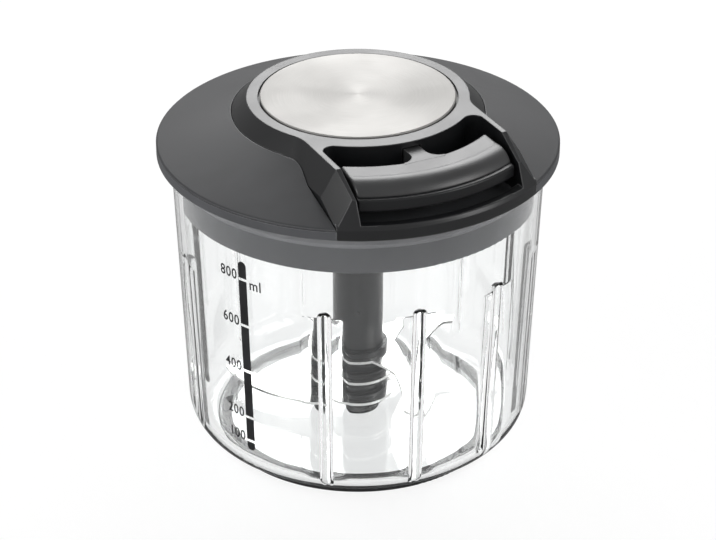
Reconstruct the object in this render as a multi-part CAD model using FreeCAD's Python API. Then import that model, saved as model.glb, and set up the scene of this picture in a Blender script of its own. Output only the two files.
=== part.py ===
import FreeCAD, Part
import math
import os

# Pull-cord food chopper. Millimetres, +Z up, origin at the centre of the base,
# the pull handle lies towards -Y. Heights in the lid count from the bowl's rim,
# and widths in the housing count from the edge of the brim inwards.

# Base ring and bowl
base_ring_height = 2.67
base_ring_inset = 9.3
base_ring_width = 5.0
base_ring_round = 0.6
tongue_height = 1.0
tongue_width = 2.0
bowl_foot_radius = 59.6
bowl_rim_radius = 63.45
bowl_height = 104.93
bowl_wall = 2.2
bowl_floor = 2.6
bowl_corner_radius = 11.6
boss_radius = 7.0
boss_height = 3.5

# Ribs inside the bowl: one place in the circle stays empty for the printed scale
rib_radius = 2.4
rib_sink = 0.3
rib_above_floor = 6.93
rib_below_rim = 31.1
rib_places = 12
rib_first_angle = -97.0
scale_place = 1

# Blade unit: heights count from the bowl's floor
pin_radius = 2.5
pin_height = 34.73
pin_depth = 4.7
pin_tip_round = 0.8
bush_wall = 1.45
bush_foot_radius = 6.0
bush_foot_height = 0.8
bush_above_pin = 1.0
column_radius = 8.8
column_head_gap = 3.0
column_web = 2.5
socket_depth = 10.5
hex_width = 10.0
blade_levels = {"blade_low": 6.73, "blade_mid": 15.23, "blade_high": 23.73}
blade_turns = {"blade_low": 150.0, "blade_mid": 30.0, "blade_high": -80.0}
blade_thickness = 1.0
blade_wall_gap = 6.4
blade_eye_width = 3.5
blade_root_width = 13.0
blade_root_inset = 1.2
blade_heel_inset = 2.5
blade_tip_width = 4.0
blade_tip_inset = 2.0
blade_tip_drop = 1.5
blade_sweep = 17.0
blade_back_shift = 2.55
blade_back_bulge = 1.7
blade_front_hollow = 1.56
collar_width = 1.6
collar_height = 2.0

# Lid base: deck, rim band, skirt and the well for the drive
brim_overhang = 4.71
deck_thickness = 2.0
rim_band_height = 3.0
rim_band_width = 3.6
skirt_clearance = 0.47
skirt_wall = 2.0
skirt_depth = 15.8
skirt_edge_round = 0.8
well_inset = 3.0
well_wall = 2.0
well_depth = 4.6
seal_height = 2.4
seal_depth = 1.2
seal_below_deck = 4.0
seal_lip_height = 0.6

# Housing: top face, sloped wall, arms, handle recess and front apron
housing_height = 18.8
housing_slope = 1.04
housing_wall = 2.2
bridge_width = 1.6
arm_inset = 6.5
arm_lean_width = 5.4
arm_taper_width = 0.5
arm_root_y = -5.5
arm_slope_length = 10.6
end_face_lean = 3.7
arm_tip_height = 7.8
arm_overrun = 6.0
crook_radius = 12.0
recess_side_wall = 1.8
recess_flare = 0.2
recess_back_round = 3.5
recess_front_round = 1.0
apron_height = 5.1
apron_width = 3.6
apron_round = 0.6
slot_side_gap = 0.6
slot_floor_gap = 0.4
slot_head_gap = 0.5
roof_thickness = 2.0
screw_boss_radius = 3.3
screw_boss_cover = 2.0
screw_tip_room = 0.5

# Brim cover: a shallow cone around the housing
cone_inner_width = 5.2
cone_inner_drop = 4.9
cone_edge_width = 0.46
cone_edge_height = 4.15
cover_edge_drop = 0.45
cover_thickness = 1.6
cover_seat_inset = 1.0

# Steel disc
disc_margin = 4.4
disc_proud = 0.4
disc_sheet = 0.8
disc_depth = 1.8
disc_groove = 0.6
disc_round = 0.5

# Handle
handle_front_gap = 1.2
handle_depth = 15.86
finger_gap = 8.5
handle_top_drop = 2.4
handle_crown_width = 6.6
handle_crown_drop = 0.4
handle_nose_width = 1.7
handle_nose_rise = 0.5
handle_nose_bulge = 2.0
handle_crown_sag = 1.3
handle_band_height = 4.2
handle_height = 8.7
handle_side_gap = 1.9
handle_flare = 1.4
handle_shell = 2.0
handle_floor = 1.2
handle_edge_round = 0.8
handle_end_round = 1.0
base_end_round = 0.5
handle_split_rise = 0.2
handle_split_ledge = 1.0
base_side_proud = 0.1
cavity_crown_inset = 0.5
cavity_band_inset = 1.0
stem_half_width = 2.8
stem_rise = 0.4
stem_sink = 1.0
stem_crook_radius = 4.5
crook_web_sink = 1.1
knot_radius = 2.2
knot_length = 4.0
knot_round = 0.7

# Cord, drum, spring and one-way clutch
cord_radius = 1.0
cord_below_split = 0.6
cord_bend_radius = 3.0
cord_bend_lead = 2.1
drum_margin = 4.4
drum_flange_width = 7.5
drum_flange_thickness = 1.5
drum_wall = 2.0
drum_web = 2.0
drum_head_gap = 0.8
drum_hub_radius = 5.5
drum_hub_drop = 1.6
winding_depth = 3.0
spindle_radius = 3.0
spindle_end_drop = 0.5
spindle_in_roof = 1.2
post_radius = 6.5
post_floor_gap = 1.8
spring_thickness = 0.6
spring_half_turns = 12
spring_height = 5.4
ratchet_radius = 12.0
ratchet_root_radius = 9.4
ratchet_teeth = 8
ratchet_back_turn = 1.0
ratchet_height = 3.2
thrust_washer_height = 0.8
drum_washer_height = 0.6
journal_radius = 8.0
journal_bush_wall = 2.0
journal_bush_height = 6.0
journal_bush_drop = 1.0
journal_boss_wall = 2.0
journal_boss_drop = 0.4
drive_shoulder_drop = 1.0
drive_engagement = 9.0
pawl_pivot_radius = 18.6
pawl_lead = 53.7
pawl_pin_radius = 1.5
pawl_head_radius = 2.4
pawl_head_height = 0.6
pawl_boss_radius = 3.0
pawl_thickness = 2.8
pawl_width = 4.0
pawl_nose_slant = 0.2
pawl_nose_reach = 1.0
pawl_nose_gap = 0.45
guide_inset = 2.8
guide_half_width = 6.0
guide_thickness = 2.2
guide_drop = 3.0

# Screws: places count from the arms, the housing's top circle and the handle's ends
lid_screw_radius = 1.5
lid_screw_head_radius = 3.0
lid_screw_head_height = 1.8
lid_screw_length = 7.5
lid_screw_outset = 2.1
lid_screw_skirt_gap = 6.345
lid_screw_rear_inset = 4.03
handle_screw_radius = 1.2
handle_screw_head_radius = 2.4
handle_screw_head_height = 1.2
handle_screw_length = 5.5
handle_screw_inset = 8.2
handle_screw_depth = 1.5
handle_screw_recess = 0.2
handle_screw_room = 0.3
handle_boss_wall = 1.0

# Fits
running_clearance = 0.05
press_clearance = 0.01
body_gap = 0.3
panel_gap = 0.25
hole_clearance = 0.2

# Tool bodies: how far they reach past what they cut, trim or join, and how
# closely an edge has to lie to the place where it is looked for
cut_margin = 1.0
trim_reach = 5.0
fuse_overlap = 0.1
match = 0.01


def bowl_outer_radius(height):
    share = (height - bowl_bottom_z) / bowl_height
    return bowl_foot_radius + share * (bowl_rim_radius - bowl_foot_radius)


def bowl_inner_radius(height):
    return bowl_outer_radius(height) - bowl_wall


# Levels that several pieces share
bowl_bottom_z = base_ring_height
bowl_rim_z = bowl_bottom_z + bowl_height
floor_z = bowl_bottom_z + bowl_floor
boss_top_z = floor_z + boss_height
deck_z = bowl_rim_z
deck_top_z = deck_z + deck_thickness
skirt_low_z = deck_z - skirt_depth
well_floor_z = deck_z - well_depth
rim_band_top_z = deck_z + rim_band_height
rib_bottom_z = floor_z + rib_above_floor
rib_top_z = bowl_rim_z - rib_below_rim
pin_top_z = floor_z + pin_height
bush_top_z = pin_top_z + bush_above_pin
column_bottom_z = boss_top_z + bush_foot_height
housing_top_z = deck_z + housing_height
disc_seat_z = housing_top_z + disc_proud - disc_depth
roof_z = disc_seat_z - roof_thickness
apron_top_z = deck_z + apron_height
arm_tip_z = apron_top_z + arm_tip_height
cone_inner_z = housing_top_z - cone_inner_drop
cone_edge_z = deck_z + cone_edge_height
handle_top_z = housing_top_z - handle_top_drop
handle_bottom_z = handle_top_z - handle_height
handle_band_z = handle_bottom_z + handle_band_height
handle_split_z = handle_band_z + handle_split_rise
handle_nose_z = handle_band_z + handle_nose_rise
handle_crown_z = handle_top_z - handle_crown_drop
journal_bush_bottom_z = well_floor_z - well_wall - journal_bush_drop
journal_bush_top_z = journal_bush_bottom_z + journal_bush_height
column_top_z = journal_bush_bottom_z - column_head_gap
drive_stub_bottom_z = column_top_z - drive_engagement
spindle_bottom_z = journal_bush_bottom_z - spindle_end_drop
ratchet_bottom_z = journal_bush_top_z + thrust_washer_height
ratchet_top_z = ratchet_bottom_z + ratchet_height
drum_hub_bottom_z = ratchet_top_z + drum_washer_height
drum_floor_z = drum_hub_bottom_z + drum_hub_drop
drum_top_z = roof_z - drum_head_gap
post_bottom_z = drum_floor_z + drum_web + post_floor_gap
cord_z = handle_split_z - cord_below_split
pawl_top_z = ratchet_top_z
pawl_bottom_z = pawl_top_z - pawl_thickness

# Radii and widths that follow each other from the bowl's rim inwards
base_ring_radius = bowl_foot_radius - base_ring_inset
blade_reach = bowl_foot_radius - bowl_wall - blade_wall_gap
bush_radius = pin_radius + running_clearance + bush_wall
skirt_radius = min(bowl_inner_radius(skirt_low_z), bowl_inner_radius(deck_z)) - skirt_clearance
brim_radius = bowl_rim_radius + brim_overhang
recess_front_radius = brim_radius - apron_width
handle_band_radius = recess_front_radius - handle_front_gap
handle_nose_radius = handle_band_radius - handle_nose_width
handle_back_radius = handle_band_radius - handle_depth
handle_crown_radius = handle_back_radius + handle_crown_width
recess_back_radius = handle_back_radius - finger_gap
housing_top_radius = recess_back_radius - bridge_width
housing_foot_radius = housing_top_radius + housing_slope * cone_inner_drop
cone_inner_radius = housing_top_radius + cone_inner_width
cone_edge_radius = brim_radius - cone_edge_width
disc_radius = housing_top_radius - disc_margin
drum_flange_radius = housing_top_radius - drum_margin
drum_radius = drum_flange_radius - drum_flange_width
well_radius = drum_flange_radius - well_inset
arm_back_half_width = housing_top_radius - arm_inset
arm_foot_half_width = arm_back_half_width + arm_lean_width
arm_tip_half_width = arm_back_half_width - arm_taper_width
arm_foot_y = -housing_top_radius
arm_tip_y = -math.sqrt((brim_radius - end_face_lean) ** 2 - arm_tip_half_width**2)
arm_slope_y = arm_tip_y + arm_slope_length
recess_back_half_width = arm_back_half_width - recess_side_wall
recess_front_half_width = recess_back_half_width + recess_flare
handle_back_half_width = recess_back_half_width - handle_side_gap
handle_front_half_width = handle_back_half_width + handle_flare
slot_half_width = stem_half_width + slot_side_gap
guide_front_y = -(recess_back_radius - guide_inset)
guide_back_y = guide_front_y + guide_thickness
stem_inner_radius = body_gap - guide_front_y
cord_wrap_radius = drum_radius + winding_depth + cord_radius + body_gap
cord_bend_y = -(cord_wrap_radius + cord_bend_lead)
lid_screw_x = arm_back_half_width + lid_screw_outset
lid_screw_circle = skirt_radius - skirt_wall - lid_screw_skirt_gap
lid_screw_y = -math.sqrt(lid_screw_circle**2 - lid_screw_x**2)
lid_screw_rear = (housing_foot_radius - lid_screw_rear_inset) / math.sqrt(2)
lid_screw_places = [
    (-lid_screw_x, lid_screw_y),
    (lid_screw_x, lid_screw_y),
    (-lid_screw_rear, lid_screw_rear),
    (lid_screw_rear, lid_screw_rear),
]
handle_screw_x = handle_back_half_width - handle_screw_inset
handle_screw_y = -(handle_back_radius + handle_screw_depth)
handle_screw_places = [(-handle_screw_x, handle_screw_y), (handle_screw_x, handle_screw_y)]


def cylinder(radius, low, high, x=0.0, y=0.0):
    return Part.makeCylinder(radius, high - low, FreeCAD.Vector(x, y, low))


def tube(outer, inner, low, high, x=0.0, y=0.0):
    return cylinder(outer, low, high, x, y).cut(cylinder(inner, low, high, x, y))


def box(low, high):
    size = [b - a for a, b in zip(low, high)]
    return Part.makeBox(size[0], size[1], size[2], FreeCAD.Vector(*low))


def wire_of(points):
    corners = [FreeCAD.Vector(*point) for point in points]
    return Part.makePolygon(corners + corners[:1])


def prism(points, low, high):
    face = Part.Face(wire_of([(x, y, low) for x, y in points]))
    return face.extrude(FreeCAD.Vector(0, 0, high - low))


def revolved(profile):
    face = Part.Face(wire_of([(radius, 0, height) for radius, height in profile]))
    return face.revolve(FreeCAD.Vector(0, 0, 0), FreeCAD.Vector(0, 0, 1), 360)


def turned(shape, degrees):
    copy = shape.copy()
    copy.rotate(FreeCAD.Vector(0, 0, 0), FreeCAD.Vector(0, 0, 1), degrees)
    return copy


def hexagon(width, low, high):
    corner = width / math.sqrt(3)
    points = [
        (corner * math.cos(math.radians(60 * k)), corner * math.sin(math.radians(60 * k)))
        for k in range(6)
    ]
    return prism(points, low, high)


def rounded(shape, radius, wanted):
    edges = [edge for edge in shape.Edges if wanted(edge)]
    return shape.makeFillet(radius, edges)


def is_upright(edge):
    extent = edge.BoundBox
    return extent.XLength < match and extent.YLength < match


def is_circle_at(edge, height):
    extent = edge.BoundBox
    flat = abs(extent.ZMin - height) < match and abs(extent.ZMax - height) < match
    return flat and len(edge.Vertexes) == 1


def cone_z(radius):
    share = (radius - cone_inner_radius) / (cone_edge_radius - cone_inner_radius)
    return cone_inner_z + share * (cone_edge_z - cone_inner_z)


def bowl_rib(angle):
    foot = bowl_inner_radius(rib_bottom_z) - rib_sink
    head_z = rib_top_z - rib_radius
    head = bowl_inner_radius(head_z) - rib_sink
    start = FreeCAD.Vector(0, -foot, rib_bottom_z)
    end = FreeCAD.Vector(0, -head, head_z)
    stem = Part.makeCylinder(rib_radius, (end - start).Length, start, end - start)
    rib = stem.fuse(Part.makeSphere(rib_radius, end))
    return turned(rib, angle)


def make_bowl():
    low = bowl_bottom_z
    outer = Part.makeCone(bowl_foot_radius, bowl_rim_radius, bowl_height, FreeCAD.Vector(0, 0, low))
    outer = rounded(outer, bowl_corner_radius, lambda e: is_circle_at(e, low))
    inner = Part.makeCone(
        bowl_inner_radius(floor_z),
        bowl_inner_radius(bowl_rim_z),
        bowl_rim_z - floor_z,
        FreeCAD.Vector(0, 0, floor_z),
    )
    inner = rounded(inner, bowl_corner_radius - bowl_wall, lambda e: is_circle_at(e, floor_z))
    bowl = outer.cut(inner)
    for place in range(rib_places):
        if place != scale_place:
            bowl = bowl.fuse(bowl_rib(rib_first_angle + place * 360.0 / rib_places))
    bowl = bowl.fuse(cylinder(boss_radius, floor_z - fuse_overlap, boss_top_z))
    bowl = bowl.cut(cylinder(pin_radius + press_clearance, boss_top_z - pin_depth, boss_top_z + cut_margin))
    middle = base_ring_radius - base_ring_width / 2
    groove = tube(
        middle + tongue_width / 2 + press_clearance,
        middle - tongue_width / 2 - press_clearance,
        low,
        low + tongue_height,
    )
    return bowl.cut(groove).removeSplitter()


def make_base_ring():
    middle = base_ring_radius - base_ring_width / 2
    ring = tube(base_ring_radius, base_ring_radius - base_ring_width, 0, base_ring_height)
    ring = rounded(ring, base_ring_round, lambda e: is_circle_at(e, 0))
    tongue = tube(
        middle + tongue_width / 2,
        middle - tongue_width / 2,
        base_ring_height - fuse_overlap,
        base_ring_height + tongue_height,
    )
    return ring.fuse(tongue).removeSplitter()


def make_pivot_pin():
    pin = cylinder(pin_radius, boss_top_z - pin_depth, pin_top_z)
    return rounded(pin, pin_tip_round, lambda e: is_circle_at(e, pin_top_z))


def make_blade_bush():
    sleeve = tube(bush_radius, pin_radius + running_clearance, boss_top_z, bush_top_z)
    foot = tube(bush_foot_radius, pin_radius + running_clearance, boss_top_z, boss_top_z + bush_foot_height)
    return sleeve.fuse(foot).removeSplitter()


def make_blade_hub():
    hub = cylinder(column_radius, column_bottom_z, column_top_z)
    for level in blade_levels.values():
        height = floor_z + level
        low = height - blade_thickness / 2 - collar_height
        high = height + blade_thickness / 2 + collar_height
        collar = cylinder(column_radius + collar_width, max(low, column_bottom_z), high)
        slot = tube(
            column_radius + collar_width + cut_margin,
            column_radius,
            height - blade_thickness / 2,
            height + blade_thickness / 2,
        )
        hub = hub.fuse(collar).cut(slot)
    socket_floor = column_top_z - socket_depth
    bore_top = socket_floor - column_web
    hub = hub.cut(cylinder(bush_radius + running_clearance, column_bottom_z, bore_top))
    hub = hub.cut(hexagon(hex_width + 2 * hole_clearance, socket_floor, column_top_z))
    return hub.removeSplitter()


def make_blade(name):
    eye_radius = column_radius + blade_eye_width
    eye = cylinder(eye_radius, 0, blade_thickness)
    tip_x = blade_reach - blade_tip_inset
    tip_y = blade_root_width / 2 - blade_sweep
    root_back = FreeCAD.Vector(0, eye_radius - blade_root_inset, 0)
    back_mid = FreeCAD.Vector(blade_reach / 2 + blade_back_shift, blade_root_width / 2 + blade_back_bulge, 0)
    tip = FreeCAD.Vector(tip_x, tip_y, 0)
    tip_front = FreeCAD.Vector(tip_x - blade_tip_width, tip_y - blade_tip_drop, 0)
    front_mid = FreeCAD.Vector(blade_reach / 2, -blade_front_hollow, 0)
    root_front = FreeCAD.Vector(0, blade_heel_inset - eye_radius, 0)
    outline = Part.Wire([
        Part.Arc(root_back, back_mid, tip).toShape(),
        Part.LineSegment(tip, tip_front).toShape(),
        Part.Arc(tip_front, front_mid, root_front).toShape(),
        Part.LineSegment(root_front, root_back).toShape(),
    ])
    arm = Part.Face(outline).extrude(FreeCAD.Vector(0, 0, blade_thickness))
    blade = eye.fuse(arm).removeSplitter()
    blade = blade.cut(cylinder(column_radius + press_clearance, -cut_margin, blade_thickness + cut_margin))
    blade.translate(FreeCAD.Vector(0, 0, floor_z + blade_levels[name] - blade_thickness / 2))
    return turned(blade, blade_turns[name])


def front_strip(grow, low, high):
    half = arm_foot_half_width + grow
    return box((-half, -brim_radius - trim_reach, low), (half, 0, high))


def make_seal_groove():
    high = deck_z - seal_below_deck
    return tube(skirt_radius + cut_margin, skirt_radius - seal_depth, high - seal_height, high)


def make_seal_ring():
    high = deck_z - seal_below_deck
    low = high - seal_height
    lip_z = (low + high) / 2
    outer = bowl_inner_radius(lip_z) - body_gap
    return revolved([
        (skirt_radius - seal_depth, low),
        (skirt_radius, low),
        (outer, lip_z - seal_lip_height / 2),
        (outer, lip_z + seal_lip_height / 2),
        (skirt_radius, high),
        (skirt_radius - seal_depth, high),
    ])


def make_lid_base():
    skirt = tube(skirt_radius, skirt_radius - skirt_wall, skirt_low_z, deck_z + fuse_overlap)
    skirt = rounded(skirt, skirt_edge_round, lambda e: is_circle_at(e, skirt_low_z))
    skirt = skirt.cut(make_seal_groove())
    deck = cylinder(brim_radius, deck_z, deck_top_z)
    band = tube(brim_radius, brim_radius - rim_band_width, deck_z, rim_band_top_z)
    seat_top = rim_band_top_z + panel_gap
    seat = tube(brim_radius - cover_seat_inset, brim_radius - rim_band_width, deck_z, seat_top)
    rim = deck.fuse(band).fuse(seat)
    low = deck_z - cut_margin
    high = apron_top_z + cut_margin
    apron = tube(brim_radius + trim_reach, recess_front_radius, low, high)
    rim = rim.cut(apron.common(front_strip(press_clearance, low, high)))
    rim = rim.cut(cylinder(well_radius - well_wall, low, high))
    well_low = well_floor_z - well_wall
    well = tube(well_radius, well_radius - well_wall, well_low, deck_z + fuse_overlap)
    floor = cylinder(well_radius, well_low, well_floor_z)
    bore = journal_radius + running_clearance + journal_bush_wall + press_clearance
    boss = cylinder(bore + journal_boss_wall, journal_bush_bottom_z, journal_bush_top_z - journal_boss_drop)
    base = rim.fuse([skirt, well, floor, boss])
    base = base.cut(cylinder(bore, journal_bush_bottom_z - cut_margin, journal_bush_top_z + cut_margin))
    for x, y in lid_screw_places:
        base = base.cut(cylinder(lid_screw_radius + hole_clearance, low, high, x, y))
    return base.removeSplitter()


def arm_section(y, grow, low):
    share = max((arm_slope_y - y) / (arm_slope_y - arm_tip_y), 0)
    top = housing_top_z + share * (arm_tip_z - housing_top_z)
    half = arm_back_half_width + share * (arm_tip_half_width - arm_back_half_width)
    foot_z = cone_z(math.hypot(arm_foot_half_width, y if share > 0 else arm_foot_y))
    lean = (arm_foot_half_width - half) / (top - foot_z)
    low_half = half + grow + lean * (top - low)
    return [(-low_half, y, low), (-half - grow, y, top), (half + grow, y, top), (low_half, y, low)]


def foot_prism(grow, low, high):
    # The outline where the housing meets the brim: a circle with a straight strip to the front
    half = arm_foot_half_width + grow
    strip = box((-half, -brim_radius - trim_reach, low), (half, arm_root_y, high))
    plan = turned(cylinder(housing_foot_radius + grow, low, high), 90).fuse(strip)
    crook_y = -math.sqrt((housing_foot_radius + grow) ** 2 - half**2)
    return rounded(
        plan,
        crook_radius - grow,
        lambda e: is_upright(e) and abs(e.BoundBox.YMin - crook_y) < match,
    )


def housing_form(grow, low, front_y):
    # The sloped walls start lower than the outline that trims them
    start = low - deck_thickness
    drop = housing_top_z - start
    cone = Part.makeCone(
        housing_top_radius + housing_slope * drop + grow,
        housing_top_radius + grow,
        drop,
        FreeCAD.Vector(0, 0, start),
    )
    stations = [arm_root_y, arm_slope_y, arm_tip_y, front_y]
    arms = Part.makeLoft([wire_of(arm_section(y, grow, start)) for y in stations], True, True)
    form = turned(cone, 90).fuse(arms).removeSplitter()
    crook_y = -math.sqrt((housing_top_radius + grow) ** 2 - (arm_back_half_width + grow) ** 2)

    def is_crook(edge):
        ends = [v for v in edge.Vertexes if abs(v.Z - housing_top_z) < match and abs(v.Y - crook_y) < match]
        return len(ends) == 1 and edge.BoundBox.ZLength > deck_thickness

    form = rounded(form, crook_radius - grow, is_crook)
    return form.common(foot_prism(grow, low, housing_top_z))


def behind_end_faces(inset, low, high):
    # The arms and the apron end at the brim edge in one face that leans back above it
    edge_z = cone_edge_z - cover_edge_drop
    lean = end_face_lean / (arm_tip_z - edge_z)
    radius = brim_radius - inset
    rise = high - edge_z
    face = Part.makeCone(radius, radius - lean * rise, rise, FreeCAD.Vector(0, 0, edge_z))
    return turned(cylinder(radius, low, edge_z).fuse(face), 90)


def recess_sides(grow, near_y, low, high):
    lean = (recess_front_half_width - recess_back_half_width) / (recess_front_radius - recess_back_radius)
    far_y = -brim_radius - trim_reach
    near = recess_back_half_width + grow + lean * (arm_foot_y - near_y)
    far = recess_back_half_width + grow + lean * (arm_foot_y - far_y)
    return prism([(-far, far_y), (far, far_y), (near, near_y), (-near, near_y)], low, high)


def recess_form(grow, low, high):
    sides = recess_sides(grow, -recess_back_radius / 2, low, high)
    ring = turned(tube(recess_front_radius + grow, recess_back_radius - grow, low, high), 90)
    form = ring.common(sides)
    if grow == 0:
        rear_y = -recess_back_radius
        front_y = -handle_back_radius
        form = rounded(form, recess_back_round, lambda e: is_upright(e) and e.BoundBox.YMin > rear_y)
        form = rounded(form, recess_front_round, lambda e: is_upright(e) and e.BoundBox.YMin < front_y)
    return form


def make_apron():
    apron = behind_end_faces(0, deck_z, apron_top_z).common(front_strip(0, deck_z, apron_top_z))
    apron = apron.cut(cylinder(recess_front_radius, deck_z, apron_top_z))
    return rounded(
        apron,
        apron_round,
        lambda e: e.BoundBox.ZMin > apron_top_z - match
        and e.BoundBox.YMin < -recess_front_radius - match
        and len(e.Vertexes) == 2,
    )


def make_housing():
    low = deck_top_z
    high = housing_top_z
    outer = housing_form(0, low, arm_tip_y - arm_overrun).common(behind_end_faces(0, low, high))
    bridge = cylinder(recess_back_radius, low, high).common(
        box((-arm_back_half_width, -recess_back_radius - cut_margin, low), (arm_back_half_width, 0, high))
    )
    drop = high - roof_z
    inner = housing_form(0, low, arm_tip_y - arm_overrun)
    inner.translate(FreeCAD.Vector(0, 0, -drop))
    inner = inner.common(foot_prism(-housing_wall, low - drop, roof_z))
    inner = inner.common(behind_end_faces(housing_wall, low - drop, roof_z))
    inner = inner.cut(recess_form(housing_wall, low - drop, high))
    above = high + cut_margin
    shell = outer.fuse(bridge).cut(inner).cut(recess_form(0, low - cut_margin, above))
    shell = shell.cut(recess_sides(0, -handle_back_radius, apron_top_z, above))
    shell = shell.fuse(make_apron())
    shell = shell.fuse(cylinder(post_radius, post_bottom_z, roof_z + fuse_overlap))
    pilot_top = deck_z + lid_screw_length + screw_tip_room
    for x, y in lid_screw_places:
        boss = cylinder(screw_boss_radius, low, deck_z + lid_screw_length + screw_boss_cover, x, y)
        shell = shell.fuse(boss.common(outer))
        shell = shell.cut(cylinder(lid_screw_radius + press_clearance, low, pilot_top, x, y))
    shell = shell.cut(cylinder(disc_radius + disc_groove, disc_seat_z, above))
    shell = shell.cut(cylinder(spindle_radius + press_clearance, post_bottom_z, roof_z + spindle_in_roof))
    slot = box(
        (-slot_half_width, -recess_back_radius - cut_margin, handle_bottom_z - slot_floor_gap),
        (slot_half_width, guide_front_y, handle_top_z + slot_head_gap),
    )
    return shell.cut(slot).removeSplitter()


def make_brim_cover():
    steep = (cone_inner_z - cone_edge_z) / (cone_edge_radius - cone_inner_radius)
    drop = cover_thickness * math.hypot(1, steep)
    edge_low = rim_band_top_z + panel_gap
    seat_radius = brim_radius - rim_band_width
    inner = housing_top_radius
    ring = revolved([
        (inner, cone_z(inner)),
        (cone_edge_radius, cone_edge_z),
        (brim_radius, cone_edge_z - cover_edge_drop),
        (brim_radius, edge_low),
        (seat_radius, edge_low),
        (seat_radius, cone_z(seat_radius) - drop),
        (inner, cone_z(inner) - drop),
    ])
    return ring.cut(housing_form(panel_gap, deck_z, -brim_radius - trim_reach)).removeSplitter()


def make_steel_disc():
    top = housing_top_z + disc_proud
    disc = tube(disc_radius, disc_radius - disc_sheet, disc_seat_z, top)
    disc = disc.fuse(cylinder(disc_radius, top - disc_sheet, top)).removeSplitter()
    return rounded(disc, disc_round, lambda e: is_circle_at(e, top))


def make_spindle():
    return cylinder(spindle_radius, spindle_bottom_z, roof_z + spindle_in_roof)


def make_journal_bush():
    inner = journal_radius + running_clearance
    return tube(inner + journal_bush_wall, inner, journal_bush_bottom_z, journal_bush_top_z)


def make_thrust_washer():
    inner = journal_radius + hole_clearance
    return tube(ratchet_radius, inner, journal_bush_top_z, ratchet_bottom_z)


def make_drum_washer():
    return tube(drum_hub_radius, spindle_radius + hole_clearance, ratchet_top_z, drum_hub_bottom_z)


def make_drive_hub():
    step = 360.0 / ratchet_teeth
    points = []
    for tooth in range(ratchet_teeth):
        for radius, back in ((ratchet_radius, 0), (ratchet_root_radius, ratchet_back_turn)):
            turn = math.radians(tooth * step + back)
            points.append((radius * math.cos(turn), radius * math.sin(turn)))
    hub = prism(points, ratchet_bottom_z, ratchet_top_z)
    stub_top = journal_bush_bottom_z - drive_shoulder_drop
    hub = hub.fuse(cylinder(journal_radius, stub_top, ratchet_bottom_z))
    hub = hub.fuse(hexagon(hex_width, drive_stub_bottom_z, stub_top))
    bore = spindle_radius + running_clearance
    return hub.cut(cylinder(bore, spindle_bottom_z - body_gap, ratchet_top_z)).removeSplitter()


def make_cord_drum():
    floor_top = drum_floor_z + drum_web
    drum = cylinder(drum_flange_radius, drum_floor_z, floor_top)
    drum = drum.fuse(cylinder(drum_hub_radius, drum_hub_bottom_z, floor_top))
    drum = drum.fuse(tube(drum_radius, drum_radius - drum_wall, floor_top, drum_top_z))
    drum = drum.fuse(tube(drum_flange_radius, drum_radius, drum_top_z - drum_flange_thickness, drum_top_z))
    for turn in (0, 180):
        x, y = pawl_pivot(turn)
        drum = drum.fuse(cylinder(pawl_boss_radius, pawl_top_z, drum_floor_z + fuse_overlap, x, y))
        pin_hole = cylinder(pawl_pin_radius + press_clearance, pawl_top_z, drum_floor_z + drum_web / 2, x, y)
        drum = drum.cut(pin_hole)
    drum = drum.cut(cylinder(spindle_radius + running_clearance, drum_hub_bottom_z, floor_top))
    return drum.removeSplitter()


def make_wound_cord():
    low = drum_floor_z + drum_web
    high = drum_top_z - drum_flange_thickness
    return tube(drum_radius + winding_depth, drum_radius + press_clearance, low, high)


def pawl_pivot(turn):
    angle = math.radians(turn + pawl_lead)
    return pawl_pivot_radius * math.cos(angle), pawl_pivot_radius * math.sin(angle)


def make_pawl_pins():
    pins = []
    for turn in (0, 180):
        x, y = pawl_pivot(turn)
        shank_top = drum_floor_z + drum_web / 2
        head_top = pawl_bottom_z - running_clearance
        shank = cylinder(pawl_pin_radius, head_top - pawl_head_height, shank_top, x, y)
        head = cylinder(pawl_head_radius, head_top - pawl_head_height, head_top, x, y)
        pins.append(shank.fuse(head).removeSplitter())
    return Part.makeCompound(pins)


def make_pawl(turn):
    x, y = pawl_pivot(0)
    tip_x = ratchet_root_radius + body_gap
    half = pawl_width / 2
    nose_y = pawl_nose_gap
    eye = cylinder(half, pawl_bottom_z, pawl_top_z, x, y)
    length = math.hypot(x - tip_x, y)
    side_x = -y / length * half
    side_y = (x - tip_x) / length * half
    points = [
        (x + side_x, y + side_y),
        (tip_x + pawl_nose_slant, nose_y + half),
        (tip_x, nose_y),
        (ratchet_radius + pawl_nose_reach, nose_y),
        (x - side_x, y - side_y),
    ]
    arm = prism(points, pawl_bottom_z, pawl_top_z)
    pawl = eye.fuse(arm).cut(cylinder(pawl_pin_radius + running_clearance, pawl_bottom_z, pawl_top_z, x, y))
    return turned(pawl.removeSplitter(), turn)


def half_turns(start_radius, growth, height):
    # Half circles whose centres step to and fro, so that the spiral grows evenly
    edges = []
    x = start_radius
    side = 1
    for k in range(spring_half_turns):
        radius = start_radius + growth * (k + 0.5) / 2
        far_x = x - side * 2 * radius
        centre_x = (x + far_x) / 2
        start = FreeCAD.Vector(x, 0, height)
        middle = FreeCAD.Vector(centre_x, side * radius, height)
        end = FreeCAD.Vector(far_x, 0, height)
        edges.append(Part.Arc(start, middle, end).toShape())
        x = far_x
        side = -side
    return edges, x


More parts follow.
